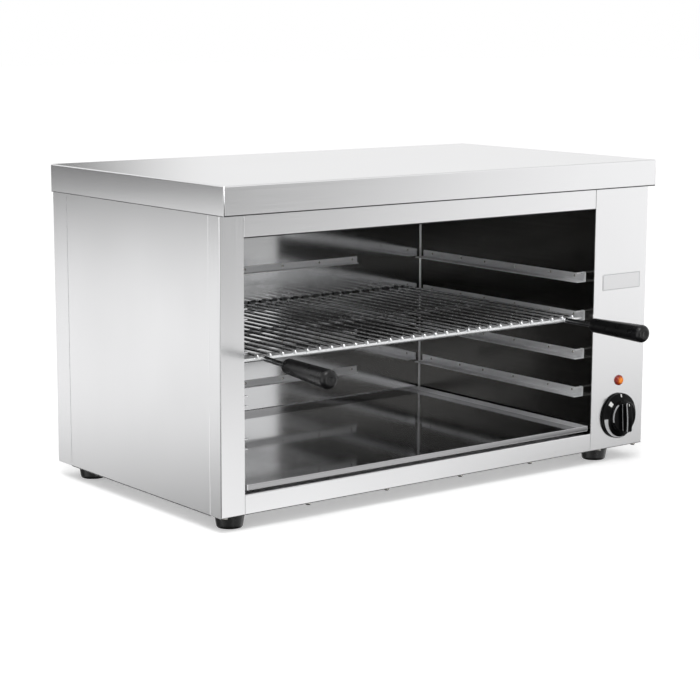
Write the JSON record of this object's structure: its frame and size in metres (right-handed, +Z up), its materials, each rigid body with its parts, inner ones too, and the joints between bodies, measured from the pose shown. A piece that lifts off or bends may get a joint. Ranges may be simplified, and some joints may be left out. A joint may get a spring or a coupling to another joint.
{
  "type": "cheese melter",
  "caption": "Countertop cheese melter: an open-fronted stainless steel cabinet with a sliding wire rack on runners, a crumb tray, top heating elements and one control knob.",
  "frame": {"origin": "on the worktop, under the middle of the whole object's box", "axes": "+Z up, -Y out of the open front, +X towards the control panel at the right as seen from the front"},
  "size_m": [0.6, 0.459, 0.35],
  "materials": {
    "stainless_brushed": "brushed",
    "stainless_polished": "polished",
    "chrome_wire": "plated, bright",
    "screw_steel": "nickel plated",
    "element_sheath": "oxidised, matt",
    "brass": "turned",
    "steatite": "fired, matt",
    "knob_phenolic": "moulded, glossy",
    "marking_white": "printed",
    "grip_phenolic": "moulded, satin",
    "lamp_lens": "moulded, clear orange",
    "lamp_housing": "moulded",
    "switch_housing": "moulded",
    "foot_rubber": "moulded",
    "gland_nylon": "moulded",
    "plate_foil": "satin, bare",
    "wire_sleeve": "extruded"
  },
  "bodies": {
    "body": {"top_cover": "stainless_brushed", "left_side_panel": "stainless_brushed", "right_side_panel": "stainless_brushed", "front_left_post": "stainless_brushed", "control_panel": "stainless_brushed", "top_fascia": "stainless_brushed", "front_rail": "stainless_brushed", "rear_panel": "stainless_brushed", "base_panel": "stainless_brushed", "cavity_left_wall": "stainless_polished", "cavity_right_wall": "stainless_polished", "cavity_back_wall": "stainless_polished", "cavity_ceiling": "stainless_polished", "cavity_floor": "stainless_polished", "left_runner_1": "stainless_brushed", "left_runner_2": "stainless_brushed", "left_runner_3": "stainless_brushed", "left_runner_4": "stainless_brushed", "right_runner_1": "stainless_brushed", "right_runner_2": "stainless_brushed", "right_runner_3": "stainless_brushed", "right_runner_4": "stainless_brushed", "back_strips": "stainless_brushed", "runner_rivets": "screw_steel", "front_element": "element_sheath", "rear_element": "element_sheath", "element_bushes": "brass", "element_insulators": "steatite", "element_terminals": "screw_steel", "element_hangers": "stainless_brushed", "energy_regulator": "switch_housing", "regulator_nut": "screw_steel", "lamp_lens": "lamp_lens", "lamp_body": "lamp_housing", "lamp_nut": "switch_housing", "name_plate": "plate_foil", "terminal_block": "steatite", "terminal_screws": "brass", "supply_wires": "wire_sleeve", "element_wires": "wire_sleeve", "lamp_wires": "wire_sleeve", "earth_wire": "wire_sleeve", "earth_stud": "brass", "gland_body": "gland_nylon", "gland_dome": "gland_nylon", "gland_locknut": "gland_nylon", "front_left_foot": "foot_rubber", "front_right_foot": "foot_rubber", "rear_left_foot": "foot_rubber", "rear_right_foot": "foot_rubber", "foot_screws": "screw_steel", "casing_screws": "screw_steel"},
    "rack": {"rack_cross_rods": "chrome_wire", "rack_wires": "chrome_wire", "rack_handle_rods": "chrome_wire", "rack_grips": "grip_phenolic"},
    "tray": {"crumb_tray": "stainless_polished"},
    "knob": {"control_knob": "knob_phenolic", "knob_marks": "marking_white", "regulator_spindle": "screw_steel"}
  },
  "joints": [
    {"name": "rack_slide", "type": "slide", "parent": "body", "child": "rack", "axis": [0, -1, 0], "range_m": [0, 0.26]},
    {"name": "tray_slide", "type": "slide", "parent": "body", "child": "tray", "axis": [0, -1, 0], "range_m": [0, 0.25]},
    {"name": "knob_turn", "type": "hinge", "parent": "body", "child": "knob", "pos_m": [0.2585, -0.1165, 0.0535], "axis": [0, 1, 0], "range_deg": [0, 300]}
  ]
}
